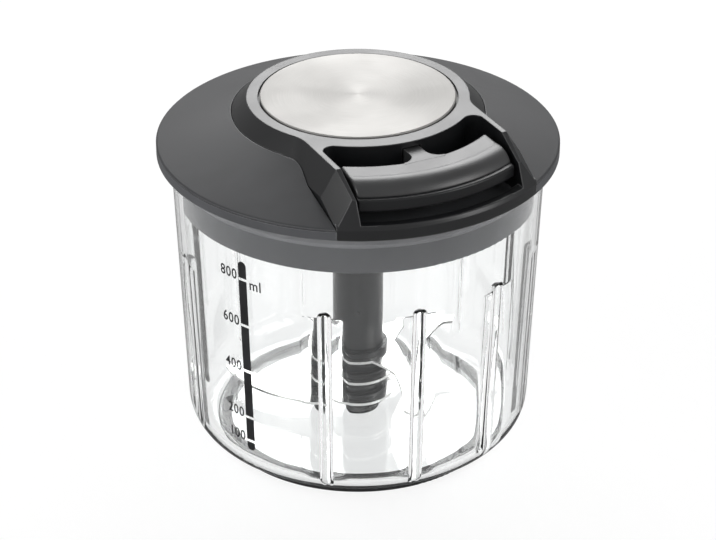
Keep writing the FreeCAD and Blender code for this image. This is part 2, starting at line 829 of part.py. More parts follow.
def make_recoil_spring():
    low = drum_floor_z + drum_web + body_gap
    inner = post_radius + body_gap
    outer = drum_radius - drum_wall - body_gap
    growth = (outer - spring_thickness - inner) / spring_half_turns * 2
    inner_edges, inner_end = half_turns(inner, growth, low)
    outer_edges, outer_end = half_turns(inner + spring_thickness, growth, low)
    start_cap = Part.LineSegment(
        FreeCAD.Vector(inner, 0, low), FreeCAD.Vector(inner + spring_thickness, 0, low)
    ).toShape()
    end_cap = Part.LineSegment(FreeCAD.Vector(inner_end, 0, low), FreeCAD.Vector(outer_end, 0, low)).toShape()
    outline = Part.Wire(Part.__sortEdges__(inner_edges + outer_edges + [start_cap, end_cap]))
    return Part.Face(outline).extrude(FreeCAD.Vector(0, 0, spring_height))


def make_cord_guide():
    low = cord_z - guide_drop
    guide = box((-guide_half_width, guide_front_y, low), (guide_half_width, guide_back_y, roof_z))
    hole = Part.makeCylinder(
        cord_radius + body_gap,
        guide_thickness + 2 * cut_margin,
        FreeCAD.Vector(0, guide_back_y + cut_margin, cord_z),
        FreeCAD.Vector(0, -1, 0),
    )
    return guide.cut(hole)


def make_pull_cord():
    wrap = cord_wrap_radius
    angle = math.acos(wrap / -cord_bend_y)
    start = FreeCAD.Vector(wrap * math.sin(angle), -wrap * math.cos(angle), cord_z)
    corner = FreeCAD.Vector(0, cord_bend_y, cord_z)
    end = FreeCAD.Vector(0, knot_back_y(), cord_z)
    along = (corner - start).normalize()
    out = FreeCAD.Vector(0, -1, 0)
    turn = math.acos(along.dot(out))
    trim = cord_bend_radius * math.tan(turn / 2)
    bend_start = corner - along * trim
    bend_end = corner + out * trim
    centre = bend_end - FreeCAD.Vector(-cord_bend_radius, 0, 0)
    towards = ((bend_start + bend_end) * 0.5 - centre).normalize()
    path = Part.Wire([
        Part.LineSegment(start, bend_start).toShape(),
        Part.Arc(bend_start, centre + towards * cord_bend_radius, bend_end).toShape(),
        Part.LineSegment(bend_end, end).toShape(),
    ])
    section = Part.Wire([Part.makeCircle(cord_radius, start, along)])
    cord = path.makePipeShell([section], True, False)
    length = (bend_start - start).Length + cord_bend_radius * turn + (end - bend_end).Length
    print("pull cord bend radius", cord_bend_radius, "length", round(length, 2))
    print("volume over section times length", round(cord.Volume / (math.pi * cord_radius**2 * length), 4))
    return cord


def knot_back_y():
    return -handle_back_radius - handle_shell


def make_cord_knot():
    knot = Part.makeCylinder(
        knot_radius, knot_length, FreeCAD.Vector(0, knot_back_y(), cord_z), FreeCAD.Vector(0, -1, 0)
    )
    return rounded(knot, knot_round, lambda e: len(e.Vertexes) == 1)


def handle_sides(inset, low, high):
    lean = (handle_front_half_width - handle_back_half_width) / (handle_band_radius - handle_back_radius)
    near_y = -handle_back_radius / 2
    far_y = -brim_radius
    near = handle_back_half_width - inset + lean * (-handle_back_radius - near_y)
    far = handle_back_half_width - inset + lean * (-handle_back_radius - far_y)
    return prism([(-far, far_y), (far, far_y), (near, near_y), (-near, near_y)], low, high)


def is_end_edge(edge, inset):
    # An edge that lies in one of the two side planes of the handle
    lean = (handle_front_half_width - handle_back_half_width) / (handle_band_radius - handle_back_radius)
    for parameter in (edge.FirstParameter, edge.LastParameter):
        point = edge.valueAt(parameter)
        half = handle_back_half_width - inset + lean * (-handle_back_radius - point.y)
        if abs(abs(point.x) - half) > match:
            return False
    return True


def grip_profile():
    rear = handle_back_radius
    edge = handle_edge_round
    low = handle_split_z
    arc = Part.Arc(
        FreeCAD.Vector(handle_crown_radius, 0, handle_crown_z),
        FreeCAD.Vector(handle_nose_radius - handle_nose_bulge, 0, handle_crown_z - handle_crown_sag),
        FreeCAD.Vector(handle_nose_radius, 0, handle_nose_z),
    )
    crown = (handle_crown_radius, 0, handle_crown_z)
    nose = handle_nose_radius
    top = handle_top_z
    before = wire_points([(rear, 0, low), (rear, 0, top - edge), (rear + edge, 0, top), crown])
    after = wire_points([(nose, 0, handle_nose_z), (nose, 0, low), (rear, 0, low)])
    return Part.Face(Part.Wire(before + [arc.toShape()] + after))


def wire_points(points):
    corners = [FreeCAD.Vector(*point) for point in points]
    return [Part.LineSegment(a, b).toShape() for a, b in zip(corners, corners[1:])]


def ring_of(face):
    return turned(face.revolve(FreeCAD.Vector(0, 0, 0), FreeCAD.Vector(0, 0, 1), 360), 90)


def handle_cavity():
    rear = handle_back_radius + handle_shell
    ring = revolved([
        (rear, handle_bottom_z + handle_floor),
        (rear, handle_top_z - handle_shell),
        (handle_crown_radius - cavity_crown_inset, handle_crown_z - handle_shell),
        (handle_nose_radius - handle_shell, handle_split_z),
        (handle_band_radius - handle_shell, handle_band_z - cavity_band_inset),
        (handle_band_radius - handle_shell, handle_bottom_z + handle_floor),
    ])
    cavity = turned(ring, 90).common(handle_sides(handle_shell, handle_bottom_z, handle_top_z))
    for x, y in handle_screw_places:
        boss = cylinder(handle_screw_head_radius + handle_boss_wall, handle_bottom_z, handle_top_z, x, y)
        cavity = cavity.cut(boss)
    return cavity


def cord_bore():
    return Part.makeCylinder(
        cord_radius + body_gap,
        handle_back_radius + handle_shell + cut_margin - stem_inner_radius,
        FreeCAD.Vector(0, -stem_inner_radius, cord_z),
        FreeCAD.Vector(0, -1, 0),
    )


def cord_notch():
    half = cord_radius + body_gap
    return box(
        (-half, -handle_back_radius - handle_shell - cut_margin, cord_z - half),
        (half, -stem_inner_radius, handle_split_z + cut_margin),
    )


def make_handle_grip():
    sides = handle_sides(0, handle_bottom_z - cut_margin, handle_top_z + cut_margin)
    bar = ring_of(grip_profile()).common(sides)
    split_top = handle_split_z + match
    bar = rounded(bar, handle_end_round, lambda e: is_end_edge(e, 0) and e.BoundBox.ZMax > split_top)
    stem_low = handle_bottom_z + stem_rise
    stem = box(
        (-stem_half_width, -handle_back_radius - stem_sink, stem_low),
        (stem_half_width, -stem_inner_radius, handle_top_z),
    )
    crook = stem_crook_radius
    web = box(
        (-stem_half_width - crook, -handle_back_radius - crook_web_sink, stem_low),
        (stem_half_width + crook, -handle_back_radius + crook, handle_top_z),
    )
    grip = bar.fuse(stem.fuse(web))
    for side in (-1, 1):
        x = side * (stem_half_width + crook)
        y = -handle_back_radius + crook
        grip = grip.cut(cylinder(crook, stem_low - cut_margin, handle_top_z + cut_margin, x, y))
    return finish_grip(grip)


def finish_grip(grip):
    low = handle_bottom_z - cut_margin
    below = turned(tube(handle_band_radius + cut_margin, handle_back_radius, low, handle_split_z), 90)
    grip = grip.cut(below).cut(handle_cavity()).cut(cord_bore())
    for x, y in handle_screw_places:
        pilot_top = handle_bottom_z + handle_screw_length + handle_screw_head_height + handle_screw_room
        grip = grip.cut(cylinder(handle_screw_radius + press_clearance, handle_split_z, pilot_top, x, y))
    return grip.removeSplitter()


def make_handle_base():
    rear = handle_back_radius
    front = handle_band_radius
    low = handle_bottom_z
    edge = handle_edge_round / 2
    ring = revolved([
        (rear, low),
        (front - edge, low),
        (front, low + edge),
        (front, handle_band_z - edge),
        (front - edge, handle_band_z),
        (handle_nose_radius - handle_split_ledge, handle_split_z),
        (rear, handle_split_z),
    ])
    base = turned(ring, 90).common(handle_sides(-base_side_proud, low - cut_margin, handle_top_z))
    base = rounded(base, base_end_round, lambda e: is_end_edge(e, -base_side_proud))
    base = base.cut(handle_cavity()).cut(cord_notch())
    for x, y in handle_screw_places:
        head_top = low + handle_screw_head_height + handle_screw_recess
        base = base.cut(cylinder(handle_screw_head_radius + hole_clearance, low, head_top, x, y))
        base = base.cut(cylinder(handle_screw_radius + hole_clearance, low, handle_split_z, x, y))
    return base.removeSplitter()


def screw(head_radius, head_low, head_height, shank_radius, shank_top, x, y):
    head = cylinder(head_radius, head_low, head_low + head_height, x, y)
    shank = cylinder(shank_radius, head_low, shank_top, x, y)
    drive = hexagon(head_radius, head_low, head_low + head_height / 2)
    drive.translate(FreeCAD.Vector(x, y, 0))
    return head.fuse(shank).cut(drive).removeSplitter()


def make_lid_screws():
    low = deck_z - lid_screw_head_height
    top = deck_z + lid_screw_length
    return Part.makeCompound([
        screw(lid_screw_head_radius, low, lid_screw_head_height, lid_screw_radius, top, x, y)
        for x, y in lid_screw_places
    ])


def make_handle_screws():
    low = handle_bottom_z + handle_screw_recess
    top = handle_bottom_z + handle_screw_head_height + handle_screw_length
    return Part.makeCompound([
        screw(handle_screw_head_radius, low, handle_screw_head_height, handle_screw_radius, top, x, y)
        for x, y in handle_screw_places
    ])


def write_node(name, shape):
    solids = shape.Solids
    state = "valid" if shape.isValid() else "NOT VALID"
    print(name, len(solids), "solid", round(shape.Volume, 1), state)
    node = solids[0] if len(solids) == 1 else Part.makeCompound(solids)
    node.exportStep("parts/" + name + ".step")


def main():
    os.makedirs("parts", exist_ok=True)
    write_node("bowl", make_bowl())
    write_node("base_ring", make_base_ring())
    write_node("pivot_pin", make_pivot_pin())
    write_node("blade_bush", make_blade_bush())
    write_node("blade_hub", make_blade_hub())
    for name in blade_levels:
        write_node(name, make_blade(name))
    write_node("lid_base", make_lid_base())
    write_node("seal_ring", make_seal_ring())
    write_node("housing", make_housing())
    write_node("brim_cover", make_brim_cover())
    write_node("steel_disc", make_steel_disc())
    write_node("lid_screws", make_lid_screws())
    write_node("spindle", make_spindle())
    write_node("drive_bush", make_journal_bush())
    write_node("thrust_washer", make_thrust_washer())
    write_node("drive_hub", make_drive_hub())
    write_node("drum_washer", make_drum_washer())
    write_node("cord_drum", make_cord_drum())
    write_node("wound_cord", make_wound_cord())
    write_node("pawl_pins", make_pawl_pins())
    write_node("pawl_a", make_pawl(0))
    write_node("pawl_b", make_pawl(180))
    write_node("recoil_spring", make_recoil_spring())
    write_node("cord_guide", make_cord_guide())
    write_node("pull_cord", make_pull_cord())
    write_node("cord_knot", make_cord_knot())
    write_node("handle_grip", make_handle_grip())
    write_node("handle_base", make_handle_base())
    write_node("handle_screws", make_handle_screws())


main()
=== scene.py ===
import bpy
import bmesh
import math
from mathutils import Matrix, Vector


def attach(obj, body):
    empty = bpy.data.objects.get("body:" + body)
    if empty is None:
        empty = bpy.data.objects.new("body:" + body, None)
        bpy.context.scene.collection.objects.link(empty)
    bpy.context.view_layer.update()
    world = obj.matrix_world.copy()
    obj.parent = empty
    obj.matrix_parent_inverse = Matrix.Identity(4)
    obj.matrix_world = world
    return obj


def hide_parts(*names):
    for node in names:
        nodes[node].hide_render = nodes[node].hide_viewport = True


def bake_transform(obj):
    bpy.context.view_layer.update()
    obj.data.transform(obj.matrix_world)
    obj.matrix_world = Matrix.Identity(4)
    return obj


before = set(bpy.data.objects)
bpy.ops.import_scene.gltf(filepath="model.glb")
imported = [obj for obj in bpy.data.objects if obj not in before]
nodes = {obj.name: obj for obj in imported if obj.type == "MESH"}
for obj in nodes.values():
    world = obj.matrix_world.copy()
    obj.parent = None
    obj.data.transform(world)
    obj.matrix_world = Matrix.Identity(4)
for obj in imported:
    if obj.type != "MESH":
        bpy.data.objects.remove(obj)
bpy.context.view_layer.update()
print("frame loaded:", len(nodes), "nodes")

mm = 0.001


# Node helpers

def addNode(tree, kind, values=None, **props):
    node = tree.nodes.new(kind)
    for key, value in props.items():
        setattr(node, key, value)
    for key, value in (values or {}).items():
        node.inputs[key].default_value = value
    return node


def feed(tree, target, value):
    # A socket is linked, anything else is a constant
    if isinstance(value, bpy.types.NodeSocket):
        tree.links.new(value, target)
    else:
        target.default_value = value


def calc(tree, operation, *values):
    node = addNode(tree, "ShaderNodeMath", operation=operation)
    for socket, value in zip(node.inputs, values):
        feed(tree, socket, value)
    return node.outputs[0]


def mapRange(tree, value, fromLow, fromHigh, toLow, toHigh):
    node = addNode(tree, "ShaderNodeMapRange", clamp=True)
    for name, item in (("Value", value), ("From Min", fromLow), ("From Max", fromHigh),
                       ("To Min", toLow), ("To Max", toHigh)):
        feed(tree, node.inputs[name], item)
    return node.outputs[0]


def toneOf(tree, noise):
    # Noise gathers round one half, so its middle is spread over 0 to 1
    return mapRange(tree, noise, 0.3, 0.7, 0.0, 1.0)


def lengthOf(tree, x, y):
    return calc(tree, "SQRT", calc(tree, "ADD", calc(tree, "MULTIPLY", x, x), calc(tree, "MULTIPLY", y, y)))


def mixColour(tree, factor, first, second):
    node = addNode(tree, "ShaderNodeMix", data_type="RGBA", blend_type="MIX")
    feed(tree, node.inputs[0], factor)
    feed(tree, node.inputs[6], first)
    feed(tree, node.inputs[7], second)
    return node.outputs[2]


def scaled(colour, gain, lift=0.0, most=1.0):
    return tuple(min(part * gain + lift, most) for part in colour) + (1,)


def shaderGroup(name, inputs, outputs, vectors=()):
    group = bpy.data.node_groups.new(name, "ShaderNodeTree")
    for label, value in inputs.items():
        socket = group.interface.new_socket(label, in_out="INPUT", socket_type="NodeSocketFloat")
        socket.default_value = value
    for label in outputs:
        group.interface.new_socket(label, in_out="OUTPUT", socket_type="NodeSocketFloat")
    for label in vectors:
        group.interface.new_socket(label, in_out="OUTPUT", socket_type="NodeSocketVector")
    return group, group.nodes.new("NodeGroupInput"), group.nodes.new("NodeGroupOutput")


def placeGroup(tree, group, values):
    node = addNode(tree, "ShaderNodeGroup", node_tree=group)
    for label, value in values.items():
        feed(tree, node.inputs[label], value)
    return node


def newMaterial(name):
    material = bpy.data.materials.new(name)
    material.use_nodes = True
    tree = material.node_tree
    shader = tree.nodes["Principled BSDF"]
    return material, tree, shader


def addBump(tree, shader, height, strength, distance, base=None):
    bump = addNode(tree, "ShaderNodeBump", {"Strength": strength, "Distance": distance})
    tree.links.new(height, bump.inputs["Height"])
    if base is not None:
        tree.links.new(base, bump.inputs["Normal"])
    tree.links.new(bump.outputs["Normal"], shader.inputs["Normal"])


# Shared effects

rubMarks = {"scale": 55.0, "from": 0.56, "to": 0.72}
scratchLines = {"turnAndStretch": ((0.5, 40.0), (-1.1, 28.0)), "scale": 60.0, "from": 0.63, "to": 0.7}
# Bevel mask for the painted edge highlight: samples, flat and turned limits, and the noise that breaks it
# up
edgeHighlightMask = {"samples": 6, "flat": 0.99, "turned": 0.88, "breakScale": 160.0}


def buildMouldGrain():
    # Fine spark-eroded grain, slow tone drift and a dusting of handling marks
    group, inp, out = shaderGroup(
        "mouldGrain",
        {"Grain Size": 0.35, "Drift Size": 14.0, "Marks": 0.5},
        ["Grain", "Drift", "Rubs"],
    )
    place = addNode(group, "ShaderNodeTexCoord").outputs["Object"]
    grain = addNode(group, "ShaderNodeTexNoise", {"Detail": 3.0, "Roughness": 0.6})
    feed(group, grain.inputs["Vector"], place)
    feed(group, grain.inputs["Scale"], calc(group, "DIVIDE", 1000.0, inp.outputs["Grain Size"]))
    drift = addNode(group, "ShaderNodeTexNoise", {"Detail": 2.0})
    feed(group, drift.inputs["Vector"], place)
    feed(group, drift.inputs["Scale"], calc(group, "DIVIDE", 1000.0, inp.outputs["Drift Size"]))
    rubs = addNode(group, "ShaderNodeTexNoise", {
        "Scale": rubMarks["scale"], "Detail": 6.0, "Roughness": 0.75})
    feed(group, rubs.inputs["Vector"], place)
    rubMask = mapRange(
        group, rubs.outputs[0], rubMarks["from"], rubMarks["to"], 0.0, inp.outputs["Marks"])
    feed(group, out.inputs["Grain"], grain.outputs[0])
    feed(group, out.inputs["Drift"], drift.outputs[0])
    feed(group, out.inputs["Rubs"], rubMask)
    return group


def buildScratches():
    # Hairline scratches from two stretched noises at different angles
    group, inp, out = shaderGroup("hairScratches", {"Spacing": 1.0, "Amount": 0.5}, ["Mask"])
    place = addNode(group, "ShaderNodeTexCoord").outputs["Object"]
    masks = []
    for turn, stretch in scratchLines["turnAndStretch"]:
        mapping = addNode(group, "ShaderNodeMapping")
        mapping.inputs["Rotation"].default_value = (turn, turn * 0.6, turn * 1.7)
        mapping.inputs["Scale"].default_value = (stretch, 1.0, 1.0)
        feed(group, mapping.inputs["Vector"], place)
        noise = addNode(group, "ShaderNodeTexNoise", {"Detail": 4.0})
        feed(group, noise.inputs["Vector"], mapping.outputs[0])
        scale = calc(group, "DIVIDE", scratchLines["scale"], inp.outputs["Spacing"])
        feed(group, noise.inputs["Scale"], scale)
        masks.append(mapRange(
            group, noise.outputs[0], scratchLines["from"], scratchLines["to"], 0.0, inp.outputs["Amount"]))
    feed(group, out.inputs["Mask"], calc(group, "MAXIMUM", *masks))
    return group


def buildRoundEdges():
    # Moulded edges are never sharp: a rounded normal, and a mask of where it differs from the flat one; the
    # plastics paint a highlight along the edges with this mask, broken up by noise
    group, inp, out = shaderGroup("roundEdges", {"Radius": 0.0004, "Break Up": 0.4}, ["Mask"], ["Normal"])
    place = addNode(group, "ShaderNodeTexCoord").outputs["Object"]
    bevel = addNode(group, "ShaderNodeBevel", samples=edgeHighlightMask["samples"])
    feed(group, bevel.inputs["Radius"], inp.outputs["Radius"])
    plain = addNode(group, "ShaderNodeNewGeometry").outputs["Normal"]
    dot = addNode(group, "ShaderNodeVectorMath", operation="DOT_PRODUCT")
    feed(group, dot.inputs[0], bevel.outputs[0])
    feed(group, dot.inputs[1], plain)
    edge = mapRange(group, dot.outputs["Value"], edgeHighlightMask["flat"], edgeHighlightMask["turned"], 0.0, 1.0)
    noise = addNode(group, "ShaderNodeTexNoise", {"Scale": edgeHighlightMask["breakScale"], "Detail": 3.0})
    feed(group, noise.inputs["Vector"], place)
    gaps = mapRange(group, noise.outputs[0], 0.35, 0.65, 1.0, 0.0)
    broken = calc(group, "MULTIPLY", gaps, inp.outputs["Break Up"])
    feed(group, out.inputs["Mask"], calc(group, "MULTIPLY", edge, calc(group, "SUBTRACT", 1.0, broken)))
    feed(group, out.inputs["Normal"], bevel.outputs[0])
    return group


mouldGrain = buildMouldGrain()
hairScratches = buildScratches()
roundEdges = buildRoundEdges()


# Plastics: colour, roughness, sheen level, grain bump, edge radius in mm, how strong the painted edge
# highlight is
plasticLooks = {
    "brimPlastic": dict(
        colour=(0.052, 0.053, 0.056), rough=0.48, sheen=0.4, bump=0.14, edge=0.4, light=0.7),
    "rimPlastic": dict(
        colour=(0.085, 0.087, 0.093), rough=0.38, sheen=0.35, bump=0.05, edge=0.4, light=0.6),
    "housingPlastic": dict(
        colour=(0.008, 0.0084, 0.0096), rough=0.34, sheen=0.9, bump=0.08, edge=0.5, light=0.9),
    "gripPlastic": dict(
        colour=(0.03, 0.0305, 0.0315), rough=0.36, sheen=1.0, bump=0.12, edge=0.6, light=0.5),
    "bandPlastic": dict(
        colour=(0.012, 0.0124, 0.0135), rough=0.3, sheen=0.5, bump=0.08, edge=0.4, light=0.9),
    "columnPlastic": dict(
        colour=(0.01, 0.0104, 0.0115), rough=0.26, sheen=0.5, bump=0.04, edge=0.5, light=0.4),
    "whiteAcetal": dict(
        colour=(0.78, 0.77, 0.73), rough=0.35, sheen=0.5, bump=0.08, edge=0.3, light=0.0),
}
# Random tone spread, rub polish, grain depth, and the gain, lift and cap of the painted edge highlight
# colour
plasticWearAndHighlight = {"grainSize": 0.6, "darker": 0.9, "lighter": 1.1, "highlightGain": 2.5, "highlightLift": 0.12,
               "highlightMost": 0.95, "roughSpread": 0.03, "polish": 0.1, "grainDepth": 0.02 * mm}


def makePlastic(name):
    look = plasticLooks[name]
    wearAndHighlight = plasticWearAndHighlight
    material, tree, shader = newMaterial(name)
    grain = placeGroup(tree, mouldGrain, {"Grain Size": wearAndHighlight["grainSize"]})
    soft = placeGroup(tree, roundEdges, {"Radius": look["edge"] * mm})
    dark = scaled(look["colour"], wearAndHighlight["darker"])
    light = scaled(look["colour"], wearAndHighlight["lighter"])
    highlightColour = scaled(look["colour"], wearAndHighlight["highlightGain"], wearAndHighlight["highlightLift"], wearAndHighlight["highlightMost"])
    tone = toneOf(tree, grain.outputs["Drift"])
    base = mixColour(tree, tone, dark, light)
    # Painted highlight: the rounded edges are lightened towards the highlight colour
    edge = calc(tree, "MULTIPLY", soft.outputs["Mask"], look["light"])
    feed(tree, shader.inputs["Base Color"], mixColour(tree, edge, base, highlightColour))
    spread = wearAndHighlight["roughSpread"]
    rough = mapRange(tree, tone, 0.0, 1.0, look["rough"] - spread, look["rough"] + spread)
    rubbed = calc(tree, "MULTIPLY", grain.outputs["Rubs"], wearAndHighlight["polish"])
    feed(tree, shader.inputs["Roughness"], calc(tree, "SUBTRACT", rough, rubbed))
    shader.inputs["Specular IOR Level"].default_value = look["sheen"]
    addBump(tree, shader, grain.outputs["Grain"], look["bump"], wearAndHighlight["grainDepth"], soft.outputs["Normal"])
    return material


clearLook = {
    "dim": (0.972, 0.98, 0.98, 1), "bright": (0.99, 0.995, 0.994, 1), "shadow": (0.93, 0.94, 0.94, 1),
    "scratched": 0.12, "rubbed": 0.03, "rough": 0.008, "ior": 1.5, "bump": 0.04, "waveDepth": 0.3 * mm,
}


def makeClearPlastic():
    material, tree, shader = newMaterial("clearBowlPlastic")
    scratches = placeGroup(tree, hairScratches, {"Spacing": 1.2, "Amount": 0.5})
    grain = placeGroup(tree, mouldGrain, {"Drift Size": 22.0, "Marks": 0.6})
    tone = toneOf(tree, grain.outputs["Drift"])
    feed(tree, shader.inputs["Base Color"], mixColour(tree, tone, clearLook["dim"], clearLook["bright"]))
    rough = calc(tree, "MULTIPLY", scratches.outputs["Mask"], clearLook["scratched"])
    rubbed = calc(tree, "MULTIPLY", grain.outputs["Rubs"], clearLook["rubbed"])
    rough = calc(tree, "ADD", rough, rubbed)
    feed(tree, shader.inputs["Roughness"], calc(tree, "ADD", rough, clearLook["rough"]))
    shader.inputs["Transmission Weight"].default_value = 1.0
    shader.inputs["IOR"].default_value = clearLook["ior"]
    addBump(tree, shader, grain.outputs["Drift"], clearLook["bump"], clearLook["waveDepth"])
    # Shadow rays pass, so the plastic casts the pale shadow of a clear thing
    clear = addNode(tree, "ShaderNodeBsdfTransparent", {"Color": clearLook["shadow"]})
    rays = addNode(tree, "ShaderNodeLightPath")
    mix = addNode(tree, "ShaderNodeMixShader")
    tree.links.new(rays.outputs["Is Shadow Ray"], mix.inputs[0])
    tree.links.new(shader.outputs[0], mix.inputs[1])
    tree.links.new(clear.outputs[0], mix.inputs[2])
    tree.links.new(mix.outputs[0], tree.nodes["Material Output"].inputs["Surface"])
    return material


discLook = {
    "dark": (0.41, 0.403, 0.392, 1), "light": (0.48, 0.473, 0.461, 1),
    "lines": 9000.0, "arcs": 1.6, "patches": 45.0, "roughLow": 0.56, "roughHigh": 0.64,
    "anisotropy": 0.45, "bump": 0.12, "lineDepth": 0.02 * mm,
}


def makeDiscSteel():
    # Fine turned brushing: noise that changes mostly with the radius and slowly round the disc
    material, tree, shader = newMaterial("turnedSteel")
    place = addNode(tree, "ShaderNodeTexCoord").outputs["Object"]
    split = addNode(tree, "ShaderNodeSeparateXYZ")
    feed(tree, split.inputs[0], place)
    x, y = split.outputs[0], split.outputs[1]
    radius = lengthOf(tree, x, y)
    angle = calc(tree, "ARCTAN2", y, x)
    ring = addNode(tree, "ShaderNodeCombineXYZ")
    feed(tree, ring.inputs[0], calc(tree, "MULTIPLY", radius, discLook["lines"]))
    feed(tree, ring.inputs[1], calc(tree, "MULTIPLY", angle, discLook["arcs"]))
    fine = addNode(tree, "ShaderNodeTexNoise", {"Scale": 1.0, "Detail": 4.0, "Roughness": 0.7})
    feed(tree, fine.inputs["Vector"], ring.outputs[0])
    patch = addNode(tree, "ShaderNodeTexNoise", {"Scale": discLook["patches"], "Detail": 2.0})
    feed(tree, patch.inputs["Vector"], place)
    colour = mixColour(tree, toneOf(tree, fine.outputs[0]), discLook["dark"], discLook["light"])
    feed(tree, shader.inputs["Base Color"], colour)
    shader.inputs["Metallic"].default_value = 1.0
    feed(tree, shader.inputs["Roughness"], mapRange(
        tree, patch.outputs[0], 0.3, 0.7, discLook["roughLow"], discLook["roughHigh"]))
    shader.inputs["Anisotropic"].default_value = discLook["anisotropy"]
    tangent = addNode(tree, "ShaderNodeTangent", direction_type="RADIAL", axis="Z")
    tree.links.new(tangent.outputs[0], shader.inputs["Tangent"])
    addBump(tree, shader, fine.outputs[0], discLook["bump"], discLook["lineDepth"])
    return material


# Small steel parts: colour, roughness and grain bump
steelLooks = {
    "brightSteel": dict(colour=(0.82, 0.82, 0.81), rough=0.16, bump=0.05),
    "bladeSteel": dict(colour=(0.78, 0.78, 0.77), rough=0.2, bump=0.08),
    "springSteel": dict(colour=(0.36, 0.38, 0.43), rough=0.3, bump=0.1),
}
steelWear = {"darker": 0.9, "scratched": 0.2, "grainDepth": 0.01 * mm}


def makeSteel(name):
    look = steelLooks[name]
    material, tree, shader = newMaterial(name)
    scratches = placeGroup(tree, hairScratches, {"Spacing": 0.6, "Amount": 0.6})
    grain = placeGroup(tree, mouldGrain, {"Grain Size": 0.2, "Drift Size": 9.0})
    tone = toneOf(tree, grain.outputs["Drift"])
    dark = scaled(look["colour"], steelWear["darker"])
    feed(tree, shader.inputs["Base Color"], mixColour(tree, tone, dark, scaled(look["colour"], 1.0)))
    shader.inputs["Metallic"].default_value = 1.0
    mask = calc(tree, "MULTIPLY", scratches.outputs["Mask"], steelWear["scratched"])
    feed(tree, shader.inputs["Roughness"], calc(tree, "ADD", mask, look["rough"]))
    addBump(tree, shader, grain.outputs["Grain"], look["bump"], steelWear["grainDepth"])
    return material


rubberColours = {"footRubber": (0.018, 0.018, 0.019), "sealSilicone": (0.2, 0.2, 0.21)}
rubberWear = {"dust": 0.04, "lighter": 1.3, "roughLow": 0.62, "roughHigh": 0.74,
              "bump": 0.4, "grainDepth": 0.04 * mm}


def makeRubber(name):
    colour = rubberColours[name]
    material, tree, shader = newMaterial(name)
    grain = placeGroup(tree, mouldGrain, {"Grain Size": 0.5, "Marks": 0.8})
    tone = toneOf(tree, grain.outputs["Drift"])
    dusty = mixColour(
        tree, grain.outputs["Rubs"], scaled(colour, 1.0), scaled(colour, 1.0, rubberWear["dust"]))
    feed(tree, shader.inputs["Base Color"], mixColour(
        tree, tone, dusty, scaled(colour, rubberWear["lighter"])))
    feed(tree, shader.inputs["Roughness"], mapRange(
        tree, tone, 0.0, 1.0, rubberWear["roughLow"], rubberWear["roughHigh"]))
    addBump(tree, shader, grain.outputs["Grain"], rubberWear["bump"], rubberWear["grainDepth"])
    return material


inkLook = {"dark": (0.01, 0.01, 0.011, 1), "light": (0.022, 0.022, 0.024, 1),
           "roughLow": 0.3, "roughHigh": 0.42, "bump": 0.2, "grainDepth": 0.01 * mm}


def makeInk():
    material, tree, shader = newMaterial("scaleInk")
    grain = placeGroup(tree, mouldGrain, {"Grain Size": 0.4, "Drift Size": 6.0})
    tone = toneOf(tree, grain.outputs["Drift"])
    feed(tree, shader.inputs["Base Color"], mixColour(tree, tone, inkLook["dark"], inkLook["light"]))
    feed(tree, shader.inputs["Roughness"], mapRange(
        tree, tone, 0.0, 1.0, inkLook["roughLow"], inkLook["roughHigh"]))
    addBump(tree, shader, grain.outputs["Grain"], inkLook["bump"], inkLook["grainDepth"])
    return material


# shade is the painted shade colour of the grooves between the strands
braidLook = {
    "strands": 8, "pitch": 0.9 * mm, "shade": (0.42, 0.41, 0.38, 1), "thread": (0.78, 0.77, 0.73, 1),
    "roughLow": 0.72, "roughHigh": 0.9, "sheen": 0.3, "bump": 0.5, "strandDepth": 0.15 * mm,
}


def makeCordFibre():
    # Braid: two slanting waves cross on the cord's own UV map; the grooves between the strands get the
    # darker shade colour as painted shade
    material, tree, shader = newMaterial("braidedCord")
    uv = addNode(tree, "ShaderNodeUVMap", uv_map="cordUV").outputs[0]
    split = addNode(tree, "ShaderNodeSeparateXYZ")
    feed(tree, split.inputs[0], uv)
    around = calc(tree, "MULTIPLY", split.outputs[0], braidLook["strands"] * 2 * math.pi)
    along = calc(tree, "MULTIPLY", split.outputs[1], 2 * math.pi / braidLook["pitch"])
    left = calc(tree, "SINE", calc(tree, "ADD", around, along))
    right = calc(tree, "SINE", calc(tree, "SUBTRACT", around, along))
    weave = calc(tree, "MAXIMUM", left, right)
    tone = mapRange(tree, weave, -0.6, 1.0, 0.0, 1.0)
    feed(tree, shader.inputs["Base Color"], mixColour(tree, tone, braidLook["shade"], braidLook["thread"]))
    feed(tree, shader.inputs["Roughness"], mapRange(
        tree, tone, 0.0, 1.0, braidLook["roughHigh"], braidLook["roughLow"]))
    shader.inputs["Sheen Weight"].default_value = braidLook["sheen"]
    addBump(tree, shader, weave, braidLook["bump"], braidLook["strandDepth"])
    return material


brimPlastic, rimPlastic, housingPlastic, gripPlastic, bandPlastic, columnPlastic, whiteAcetal = [
    makePlastic(name) for name in plasticLooks]
clearPlastic = makeClearPlastic()
turnedSteel = makeDiscSteel()
brightSteel, bladeSteel, springSteel = [makeSteel(name) for name in steelLooks]
footRubber, sealSilicone = [makeRubber(name) for name in rubberColours]
scaleInk = makeInk()
cordFibre = makeCordFibre()
print("materials made:", len(bpy.data.materials))


# Mesh helpers

def newPiece(name, mesh, body, material, stands=()):
    piece = bpy.data.objects.new(name, mesh)
    bpy.context.scene.collection.objects.link(piece)
    mesh.materials.clear()
    mesh.materials.append(material)
    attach(piece, body)
    if stands:
        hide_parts(*stands)
    return piece


def bakedMesh(source, name):
    graph = bpy.context.evaluated_depsgraph_get()
    mesh = bpy.data.meshes.new_from_object(source.evaluated_get(graph))
    mesh.name = name
    return mesh


# Clear bowl: a lathe whose inner wall is pushed in where the ribs stand

